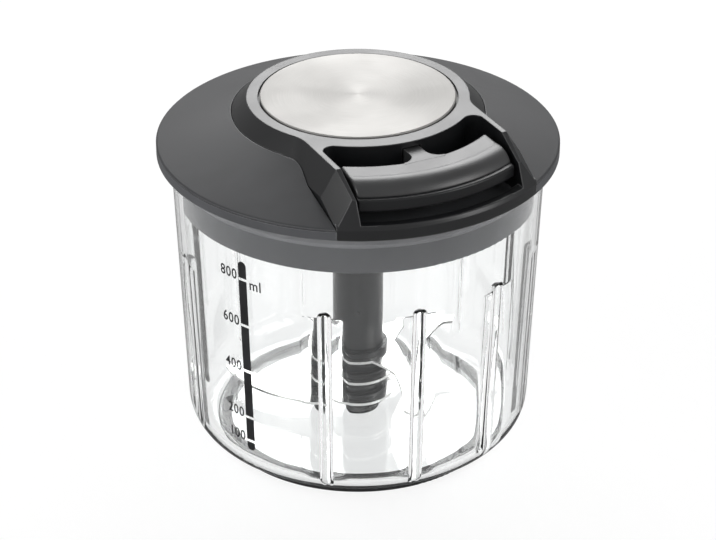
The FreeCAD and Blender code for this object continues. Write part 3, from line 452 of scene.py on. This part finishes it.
bowl = {
    "footRadius": 59.6 * mm, "rimRadius": 63.45 * mm, "low": 2.67 * mm, "height": 104.93 * mm,
    "wall": 2.2 * mm, "floor": 2.6 * mm, "corner": 11.6 * mm,
    "bossRadius": 7.0 * mm, "bossHeight": 3.5 * mm, "pinRadius": 2.5 * mm, "pinDepth": 4.7 * mm,
    "ribRadius": 2.4 * mm, "ribSink": 0.3 * mm, "ribTop": 76.5 * mm, "ribPlaces": 12,
    "ribFirst": -97.0, "blankPlace": 1, "ribSpread": 1.004, "ribSpreadAt": 40 * mm, "capReach": 1.15,
    "ringMiddle": 47.8 * mm, "ringHalf": 1.0 * mm, "rimEdge": 0.5 * mm, "bossFoot": 0.5 * mm,
    "bossEdge": 0.4 * mm, "pinGap": 0.02 * mm,
    "cornerSteps": 14, "wallSteps": 26, "capSteps": 10, "ribSteps": 16, "gapSteps": 9,
    "lowSteps": 18, "highSteps": 8,
}
bowlRim = bowl["low"] + bowl["height"]
taper = (bowl["rimRadius"] - bowl["footRadius"]) / bowl["height"]


def outerRadius(z):
    return bowl["footRadius"] + taper * (z - bowl["low"])


def cornerPoints(radius, low, rounding):
    # Quarter turn from the flat floor into the leaning wall
    lean = math.atan(taper)
    sweep = math.pi / 2 - lean
    side = radius + taper * rounding
    centreR = side - rounding / math.cos(lean)
    points = []
    for step in range(bowl["cornerSteps"] + 1):
        turn = sweep * step / bowl["cornerSteps"]
        points.append((centreR + rounding * math.sin(turn), low + rounding * (1 - math.cos(turn))))
    return points


def bowlProfile():
    # From the underside's centre out, up the outer wall, over the rim and down inside; 1 marks the inside
    low, wall, edge = bowl["low"], bowl["wall"], bowl["rimEdge"]
    under = [(bowl["pinRadius"] * 0.5, low, 0), (bowl["ringMiddle"] - bowl["ringHalf"], low, 0),
             (bowl["ringMiddle"] + bowl["ringHalf"], low, 0)]
    outer = [(r, z, 0) for r, z in cornerPoints(bowl["footRadius"], low, bowl["corner"])]
    lastZ = outer[-1][1]
    wallZ = [lastZ + (bowlRim - lastZ) * k / bowl["wallSteps"] for k in range(1, bowl["wallSteps"])]
    outer += [(outerRadius(z), z, 0) for z in wallZ]
    top = outerRadius(bowlRim)
    rim = [(top, bowlRim - edge, 0), (top - edge * 0.3, bowlRim - edge * 0.3, 0), (top - edge, bowlRim, 0),
           (top - wall + edge, bowlRim, 0), (top - wall, bowlRim - edge, 1)]
    floorZ = low + bowl["floor"]
    innerCorner = cornerPoints(outerRadius(floorZ) - wall, floorZ, bowl["corner"] - wall)
    cornerTop = innerCorner[-1][1]
    capLow = bowl["ribTop"] - bowl["ribRadius"]
    capSteps, lowSteps, highSteps = bowl["capSteps"], bowl["lowSteps"], bowl["highSteps"]
    zs = [capLow + bowl["ribRadius"] * bowl["capReach"] * k / capSteps for k in range(capSteps + 1)]
    zs += [zs[-1] + (bowlRim - edge - zs[-1]) * k / highSteps for k in range(1, highSteps)]
    zs = [cornerTop + (capLow - cornerTop) * k / lowSteps for k in range(1, lowSteps)] + zs
    inner = [(outerRadius(z) - wall, z, 1) for z in reversed(zs)]
    inner += [(r, z, 1) for r, z in reversed(innerCorner)]
    bossTop = floorZ + bowl["bossHeight"]
    bossRadius, foot, bevel = bowl["bossRadius"], bowl["bossFoot"], bowl["bossEdge"]
    pin = bowl["pinRadius"] + bowl["pinGap"]
    pinFloor = bossTop - bowl["pinDepth"]
    boss = [(bossRadius + foot, floorZ, 0), (bossRadius, floorZ + foot, 0),
            (bossRadius, bossTop - bevel, 0), (bossRadius - bevel, bossTop, 0),
            (pin, bossTop, 0), (pin, pinFloor, 0), (pin * 0.5, pinFloor, 0)]
    return under + outer + rim + inner + boss


def columnAngles():
    pitch = 360 / bowl["ribPlaces"]
    half = math.degrees(bowl["ribRadius"] * bowl["ribSpread"] / outerRadius(bowl["ribSpreadAt"]))
    angles = []
    for place in range(bowl["ribPlaces"]):
        middle = bowl["ribFirst"] + place * pitch
        for step in range(bowl["ribSteps"] + 1):
            angles.append(middle - half * math.cos(math.pi * step / bowl["ribSteps"]))
        gap = pitch - 2 * half
        for step in range(1, bowl["gapSteps"]):
            angles.append(middle + half + gap * step / bowl["gapSteps"])
    return [math.radians(a) for a in angles]


def lathe(profile, angles, name):
    # Closed turned body; the first and last profile points are capped on the axis
    mesh = bpy.data.meshes.new(name)
    work = bmesh.new()
    mark = work.verts.layers.float.new("innerWall")
    rings = []
    for angle in angles:
        ring = []
        for r, z, inside in profile:
            vert = work.verts.new((r * math.sin(angle), -r * math.cos(angle), z))
            vert[mark] = inside
            ring.append(vert)
        rings.append(ring)
    count = len(rings)
    for k, ring in enumerate(rings):
        after = rings[(k + 1) % count]
        for a in range(len(profile) - 1):
            work.faces.new((ring[a], after[a], after[a + 1], ring[a + 1]))
    for end in (0, len(profile) - 1):
        centre = work.verts.new((0, 0, profile[end][1]))
        for k, ring in enumerate(rings):
            after = rings[(k + 1) % count]
            corners = (ring[end], centre, after[end])
            work.faces.new(corners if end == 0 else corners[::-1])
    bmesh.ops.recalc_face_normals(work, faces=work.faces)
    for face in work.faces:
        face.smooth = True
    work.to_mesh(mesh)
    work.free()
    return mesh


def ribTree():
    tree = bpy.data.node_groups.new("bowlRibs", "GeometryNodeTree")
    tree.interface.new_socket("Geometry", in_out="INPUT", socket_type="NodeSocketGeometry")
    sizes = ("Rib Radius", "Rib Sink", "Rib Top", "Rib Pitch", "First Angle", "Blank Place",
             "Wall Radius", "Wall Taper")
    for label in sizes:
        tree.interface.new_socket(label, in_out="INPUT", socket_type="NodeSocketFloat")
    tree.interface.new_socket("Material", in_out="INPUT", socket_type="NodeSocketMaterial")
    tree.interface.new_socket("Geometry", in_out="OUTPUT", socket_type="NodeSocketGeometry")
    inp = tree.nodes.new("NodeGroupInput").outputs
    out = tree.nodes.new("NodeGroupOutput").inputs
    split = addNode(tree, "ShaderNodeSeparateXYZ")
    feed(tree, split.inputs[0], addNode(tree, "GeometryNodeInputPosition").outputs[0])
    x, y, z = split.outputs
    radius = lengthOf(tree, x, y)
    angle = calc(tree, "ARCTAN2", x, calc(tree, "MULTIPLY", y, -1.0))
    turns = calc(tree, "DIVIDE", calc(tree, "SUBTRACT", angle, inp["First Angle"]), inp["Rib Pitch"])
    turns = calc(tree, "ADD", turns, 0.5)
    place = calc(tree, "FLOOR", turns)
    offset = calc(tree, "SUBTRACT", calc(tree, "SUBTRACT", turns, place), 0.5)
    across = calc(tree, "MULTIPLY", calc(tree, "MULTIPLY", offset, inp["Rib Pitch"]), radius)
    capLow = calc(tree, "SUBTRACT", inp["Rib Top"], inp["Rib Radius"])
    above = calc(tree, "MAXIMUM", calc(tree, "SUBTRACT", z, capLow), 0.0)
    left = calc(tree, "MULTIPLY", inp["Rib Radius"], inp["Rib Radius"])
    left = calc(tree, "SUBTRACT", left, calc(tree, "MULTIPLY", across, across))
    left = calc(tree, "SUBTRACT", left, calc(tree, "MULTIPLY", above, above))
    depth = calc(tree, "SQRT", calc(tree, "MAXIMUM", left, 0.0))
    wall = calc(tree, "ADD", inp["Wall Radius"], calc(tree, "MULTIPLY", z, inp["Wall Taper"]))
    pushed = calc(tree, "SUBTRACT", calc(tree, "SUBTRACT", wall, inp["Rib Sink"]), depth)
    pushed = calc(tree, "MINIMUM", pushed, radius)
    onRib = calc(tree, "GREATER_THAN", left, 0.0)
    blank = calc(tree, "COMPARE", place, inp["Blank Place"], 0.1)
    onRib = calc(tree, "MULTIPLY", onRib, calc(tree, "SUBTRACT", 1.0, blank))
    inside = addNode(tree, "GeometryNodeInputNamedAttribute", data_type="FLOAT")
    inside.inputs[0].default_value = "innerWall"
    onRib = calc(tree, "MULTIPLY", onRib, calc(tree, "GREATER_THAN", inside.outputs[0], 0.5))
    scale = calc(tree, "DIVIDE", pushed, calc(tree, "MAXIMUM", radius, 1e-6))
    place3 = addNode(tree, "ShaderNodeCombineXYZ")
    feed(tree, place3.inputs[0], calc(tree, "MULTIPLY", x, scale))
    feed(tree, place3.inputs[1], calc(tree, "MULTIPLY", y, scale))
    feed(tree, place3.inputs[2], z)
    move = addNode(tree, "GeometryNodeSetPosition")
    feed(tree, move.inputs["Geometry"], inp["Geometry"])
    feed(tree, move.inputs["Selection"], onRib)
    feed(tree, move.inputs["Position"], place3.outputs[0])
    realize = addNode(tree, "GeometryNodeRealizeInstances")
    feed(tree, realize.inputs[0], move.outputs[0])
    paint = addNode(tree, "GeometryNodeSetMaterial")
    feed(tree, paint.inputs["Geometry"], realize.outputs[0])
    feed(tree, paint.inputs["Material"], inp["Material"])
    feed(tree, out["Geometry"], paint.outputs[0])
    return tree


def runTree(tree, mesh, values, name):
    holder = bpy.data.objects.new("holder", mesh)
    bpy.context.scene.collection.objects.link(holder)
    modifier = holder.modifiers.new("build", "NODES")
    modifier.node_group = tree
    for item in tree.interface.items_tree:
        if item.in_out == "INPUT" and item.name in values:
            modifier[item.identifier] = values[item.name]
    result = bakedMesh(holder, name)
    bpy.data.objects.remove(holder)
    return result


def makeBowl():
    base = lathe(bowlProfile(), columnAngles(), "bowlLathe")
    first = math.radians(bowl["ribFirst"])
    mesh = runTree(ribTree(), base, {
        "Rib Radius": bowl["ribRadius"], "Rib Sink": bowl["ribSink"], "Rib Top": bowl["ribTop"],
        "Rib Pitch": math.radians(360 / bowl["ribPlaces"]), "First Angle": first,
        "Blank Place": float(bowl["blankPlace"]),
        "Wall Radius": outerRadius(0) - bowl["wall"], "Wall Taper": taper,
        "Material": clearPlastic,
    }, "bowlShell")
    mesh.set_sharp_from_angle(angle=math.radians(42))
    return newPiece("bowl_shell", mesh, "bowl", clearPlastic, ["bowl"])


makeBowl()
print("bowl made")


# Printed scale on the bowl's outer wall

scale = {
    "angle": -63.5, "width": 3.3 * mm, "low": 15.8 * mm, "high": 90.3 * mm, "gap": 1.0 * mm,
    "marks": {"800": 83.5, "600": 65.7, "400": 47.8, "200": 29.2, "100": 19.6},
    "digitHeight": 3.8 * mm, "digitGap": 0.7 * mm, "digitRise": 0.3, "bold": 0.07 * mm,
    "narrow": 0.86, "spacing": 1.1, "capShare": 0.7, "ink": 0.05 * mm, "lift": 0.02 * mm,
    "unit": "ml", "unitDrop": 0.9 * mm, "unitGap": 1.4, "endSteps": 10, "curveSteps": 3,
    "weld": 0.01 * mm,
}


def onWall(side, z, lift):
    # A point on the outer wall, side metres round from the scale's middle line
    radius = outerRadius(z) + lift
    angle = math.radians(scale["angle"]) + side / outerRadius(z)
    return Vector((radius * math.sin(angle), -radius * math.cos(angle), z))


def printOutline(work, points):
    # One printed patch: a thin plate with its edges closed
    inner = [work.verts.new(onWall(s, z, scale["lift"])) for s, z in points]
    outer = [work.verts.new(onWall(s, z, scale["lift"] + scale["ink"])) for s, z in points]
    work.faces.new(outer)
    work.faces.new(inner[::-1])
    for k in range(len(points)):
        after = (k + 1) % len(points)
        work.faces.new((inner[k], inner[after], outer[after], outer[k]))


def barOutline(low, high, roundLow, roundHigh):
    half = scale["width"] / 2
    turns = [math.pi * k / scale["endSteps"] for k in range(scale["endSteps"] + 1)]
    if roundLow:
        points = [(-half * math.cos(turn), low + half - half * math.sin(turn)) for turn in turns]
    else:
        points = [(-half, low), (half, low)]
    if roundHigh:
        points += [(half * math.cos(turn), high - half + half * math.sin(turn)) for turn in turns]
    else:
        points += [(half, high), (-half, high)]
    return points


def makeScaleBar():
    mesh = bpy.data.meshes.new("scaleBar")
    work = bmesh.new()
    heights = sorted(z * mm for z in scale["marks"].values())
    edges = [scale["low"]]
    for z in heights:
        edges += [z - scale["gap"] / 2, z + scale["gap"] / 2]
    edges.append(scale["high"])
    spans = list(zip(edges[::2], edges[1::2]))
    for k, (low, high) in enumerate(spans):
        printOutline(work, barOutline(low, high, k == 0, k == len(spans) - 1))
    bmesh.ops.triangulate(work, faces=[f for f in work.faces if len(f.verts) > 4])
    bmesh.ops.recalc_face_normals(work, faces=work.faces)
    work.to_mesh(mesh)
    work.free()
    return newPiece("scale_bar", mesh, "bowl", scaleInk)


def textMesh(text, height, align):
    curve = bpy.data.curves.new("digits", "FONT")
    curve.body = text
    curve.size = height / scale["capShare"]
    curve.align_x = align
    curve.resolution_u = scale["curveSteps"]
    curve.space_character = scale["spacing"]
    curve.offset = scale["bold"]
    holder = bpy.data.objects.new("holder", curve)
    bpy.context.scene.collection.objects.link(holder)
    mesh = bakedMesh(holder, "digits")
    bpy.data.objects.remove(holder)
    bpy.data.curves.remove(curve)
    return mesh


def makeLabel(name, text, side, z, align):
    flat = textMesh(text, scale["digitHeight"], align)
    work = bmesh.new()
    work.from_mesh(flat)
    bmesh.ops.remove_doubles(work, verts=work.verts, dist=scale["weld"])
    low = min(v.co.y for v in work.verts)
    high = max(v.co.y for v in work.verts)
    middle = (low + high) / 2
    top = bmesh.ops.extrude_face_region(work, geom=list(work.faces))["geom"]
    raised = {v for v in top if isinstance(v, bmesh.types.BMVert)}
    for vert in work.verts:
        lift = scale["lift"] + (scale["ink"] if vert in raised else 0.0)
        vert.co = onWall(side + vert.co.x * scale["narrow"], z + vert.co.y - middle, lift)
    bmesh.ops.recalc_face_normals(work, faces=work.faces)
    mesh = bpy.data.meshes.new(name)
    work.to_mesh(mesh)
    work.free()
    bpy.data.meshes.remove(flat)
    return newPiece(name, mesh, "bowl", scaleInk)


makeScaleBar()
digitSide = -scale["width"] / 2 - scale["digitGap"]
for label, markZ in scale["marks"].items():
    digitZ = markZ * mm + scale["digitHeight"] * scale["digitRise"]
    makeLabel("scale_" + label, label, digitSide, digitZ, "RIGHT")
makeLabel("scale_unit", scale["unit"], scale["width"] / 2 + scale["digitGap"] * scale["unitGap"],
          scale["marks"]["800"] * mm - scale["unitDrop"], "LEFT")
print("scale printed")


# Lid, handle and the rest of the CAD nodes

nodeMaterials = {
    "base_ring": footRubber, "lid_base": rimPlastic, "housing": housingPlastic,
    "brim_cover": brimPlastic, "steel_disc": turnedSteel, "handle_grip": gripPlastic,
    "handle_base": bandPlastic, "blade_hub": columnPlastic,
    "pivot_pin": brightSteel, "blade_bush": whiteAcetal, "blade_low": bladeSteel,
    "blade_mid": bladeSteel, "blade_high": bladeSteel, "seal_ring": sealSilicone,
    "lid_screws": brightSteel, "spindle": brightSteel, "drive_bush": whiteAcetal,
    "thrust_washer": brightSteel, "drive_hub": whiteAcetal, "drum_washer": whiteAcetal,
    "cord_drum": whiteAcetal, "wound_cord": cordFibre, "pawl_pins": brightSteel,
    "pawl_a": brightSteel, "pawl_b": brightSteel, "recoil_spring": springSteel,
    "cord_guide": whiteAcetal, "cord_knot": cordFibre, "handle_screws": brightSteel,
}

for node, material in nodeMaterials.items():
    data = nodes[node].data
    data.materials.clear()
    data.materials.append(material)
print("CAD nodes painted:", len(nodeMaterials))


# Pull cord: it leaves the guide with the handle

cord = {
    "radius": 1.0 * mm, "z": 119.1 * mm, "wrap": 29.8 * mm, "bendY": -31.9 * mm, "bend": 3.0 * mm,
    "end": -49.5 * mm, "guideFront": -36.2 * mm, "bendTrim": 0.68,
    "sides": 14, "rings": 90, "leadSteps": 8, "bendSteps": 8,
}


def cordPath():
    reach = -cord["bendY"]
    turn = math.acos(cord["wrap"] / reach)
    start = Vector((cord["wrap"] * math.sin(turn), -cord["wrap"] * math.cos(turn), cord["z"]))
    corner = Vector((0, cord["bendY"], cord["z"]))
    end = Vector((0, cord["end"], cord["z"]))
    points = [start.lerp(corner, k / cord["leadSteps"]) for k in range(cord["leadSteps"] - 1)]
    trim = cord["bend"] * cord["bendTrim"]
    inPoint = corner + (start - corner).normalized() * trim
    outPoint = corner + (end - corner).normalized() * trim
    for k in range(cord["bendSteps"] + 1):
        t = k / cord["bendSteps"]
        points.append(inPoint.lerp(corner, t).lerp(corner.lerp(outPoint, t), t))
    points += [outPoint.lerp(end, k / cord["rings"]) for k in range(1, cord["rings"] + 1)]
    return points


def makeCord():
    points = cordPath()
    mesh = bpy.data.meshes.new("pullCord")
    work = bmesh.new()
    uvs = work.loops.layers.uv.new("cordUV")
    sides = cord["sides"]
    up = Vector((0, 0, 1))
    rings = []
    for k, point in enumerate(points):
        ahead = points[min(k + 1, len(points) - 1)] - points[max(k - 1, 0)]
        across = ahead.normalized().cross(up)
        ring = []
        for s in range(sides):
            turn = 2 * math.pi * s / sides
            spoke = across * math.cos(turn) + up * math.sin(turn)
            ring.append(work.verts.new(point + cord["radius"] * spoke))
        rings.append(ring)
    length = 0.0
    for k in range(len(rings) - 1):
        step = (points[k + 1] - points[k]).length
        for s in range(sides):
            after = (s + 1) % sides
            face = work.faces.new((rings[k][s], rings[k][after], rings[k + 1][after], rings[k + 1][s]))
            face.smooth = True
            corners = ((s, length), (s + 1, length), (s + 1, length + step), (s, length + step))
            for loop, (side, along) in zip(face.loops, corners):
                loop[uvs].uv = (side / sides, along)
        length += step
    work.faces.new(rings[0][::-1])
    work.faces.new(rings[-1])
    bmesh.ops.recalc_face_normals(work, faces=work.faces)
    work.to_mesh(mesh)
    work.free()
    piece = bpy.data.objects.new("pull_cord_braid", mesh)
    bpy.context.scene.collection.objects.link(piece)
    mesh.materials.append(cordFibre)
    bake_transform(piece)
    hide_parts("pull_cord")


makeCord()
print("cord made")


# Floor, light and camera

studio = {
    "floorSize": 4.0, "floorColour": (1, 1, 1, 1), "whiteReach": 0.3, "greyReach": 0.9,
    "farGrey": 0.8, "mirrored": 0.1, "world": 0.5, "through": 0.88, "reflected": 0.3, "floorGlow": 0.84,
    "floorRough": 0.7, "floorSheen": 0.2, "lampAim": (0, 0, 0.06),
}
view = {"place": (-0.3387, -0.6794, 0.4849), "aim": (0, 0, 0.0591), "sensor": 36.0, "lens": 125.7}

# Soft boxes: where, how strong, how large
softBoxes = {
    "rearBox": dict(place=(0.45, 0.95, 0.85), power=11.5, size=(1.1, 0.7)),
    "leftBox": dict(place=(-1.1, -0.15, 0.55), power=4.4, size=(0.5, 0.9)),
    "frontBox": dict(place=(0.75, -0.95, 0.6), power=3.6, size=(0.5, 0.8)),
}


def makeFloor():
    mesh = bpy.data.meshes.new("floor")
    half = studio["floorSize"] / 2
    corners = [(-half, -half, 0), (half, -half, 0), (half, half, 0), (-half, half, 0)]
    mesh.from_pydata(corners, [], [(0, 1, 2, 3)])
    floor = bpy.data.objects.new("floor", mesh)
    bpy.context.scene.collection.objects.link(floor)
    material, tree, shader = newMaterial("studioFloor")
    shader.inputs["Base Color"].default_value = studio["floorColour"]
    shader.inputs["Roughness"].default_value = studio["floorRough"]
    shader.inputs["Specular IOR Level"].default_value = studio["floorSheen"]
    mesh.materials.append(material)
    # The table is white near the object and falls off to grey, which draws the edges of the clear bowl
    place = addNode(tree, "ShaderNodeTexCoord").outputs["Object"]
    reach = addNode(tree, "ShaderNodeVectorMath", operation="LENGTH")
    feed(tree, reach.inputs[0], place)
    table = mapRange(tree, reach.outputs["Value"], studio["whiteReach"], studio["greyReach"],
                     1.0, studio["farGrey"])
    rays = addNode(tree, "ShaderNodeLightPath")
    indirect = calc(tree, "MAXIMUM", rays.outputs["Is Glossy Ray"], rays.outputs["Is Transmission Ray"])
    # A ray through the bowl counts as glossy too, so only the mirrored ones are dimmed
    mirrored = calc(tree, "SUBTRACT", rays.outputs["Is Glossy Ray"], rays.outputs["Is Transmission Ray"])
    table = calc(tree, "MULTIPLY", table, mapRange(tree, mirrored, 0.0, 1.0, 1.0, studio["mirrored"]))
    strength = calc(tree, "MAXIMUM", rays.outputs["Is Camera Ray"], table)
    glow = addNode(tree, "ShaderNodeEmission", {"Color": (1, 1, 1, 1)})
    feed(tree, glow.inputs["Strength"], strength)
    seen = calc(tree, "MAXIMUM", rays.outputs["Is Camera Ray"], indirect)
    mix = addNode(tree, "ShaderNodeMixShader")
    feed(tree, mix.inputs[0], calc(tree, "MULTIPLY", seen, studio["floorGlow"]))
    tree.links.new(shader.outputs[0], mix.inputs[1])
    tree.links.new(glow.outputs[0], mix.inputs[2])
    tree.links.new(mix.outputs[0], tree.nodes["Material Output"].inputs["Surface"])


def makeWorld():
    world = bpy.data.worlds.new("studioWorld")
    bpy.context.scene.world = world
    world.use_nodes = True
    tree = world.node_tree
    base = tree.nodes["Background"]
    base.inputs["Color"].default_value = (1, 1, 1, 1)
    white = addNode(tree, "ShaderNodeBackground", {"Color": (1, 1, 1, 1), "Strength": 1.0})
    rays = addNode(tree, "ShaderNodeLightPath")
    level = mapRange(tree, rays.outputs["Is Glossy Ray"], 0.0, 1.0, studio["world"], studio["reflected"])
    feed(tree, base.inputs["Strength"], mapRange(
        tree, rays.outputs["Is Transmission Ray"], 0.0, 1.0, level, studio["through"]))
    mix = addNode(tree, "ShaderNodeMixShader")
    feed(tree, mix.inputs[0], rays.outputs["Is Camera Ray"])
    tree.links.new(base.outputs[0], mix.inputs[1])
    tree.links.new(white.outputs[0], mix.inputs[2])
    tree.links.new(mix.outputs[0], tree.nodes["World Output"].inputs["Surface"])


def turnTo(holder, target):
    aim = Vector(target) - holder.location
    holder.rotation_mode = "QUATERNION"
    holder.rotation_quaternion = aim.to_track_quat("-Z", "Y")


def makeLamp(name, place, power, size):
    lamp = bpy.data.lights.new(name, "AREA")
    lamp.energy = power
    lamp.shape = "RECTANGLE"
    lamp.size, lamp.size_y = size
    holder = bpy.data.objects.new(name, lamp)
    holder.location = place
    turnTo(holder, studio["lampAim"])
    bpy.context.scene.collection.objects.link(holder)


def makeCamera():
    cameraData = bpy.data.cameras.new("camera")
    cameraData.sensor_width = view["sensor"]
    cameraData.lens = view["lens"]
    holder = bpy.data.objects.new("camera", cameraData)
    holder.location = view["place"]
    turnTo(holder, view["aim"])
    bpy.context.scene.collection.objects.link(holder)
    bpy.context.scene.camera = holder


makeFloor()
makeWorld()
for name, item in softBoxes.items():
    makeLamp(name, **item)
makeCamera()
bpy.context.scene.view_settings.view_transform = "Standard"
print("studio ready")
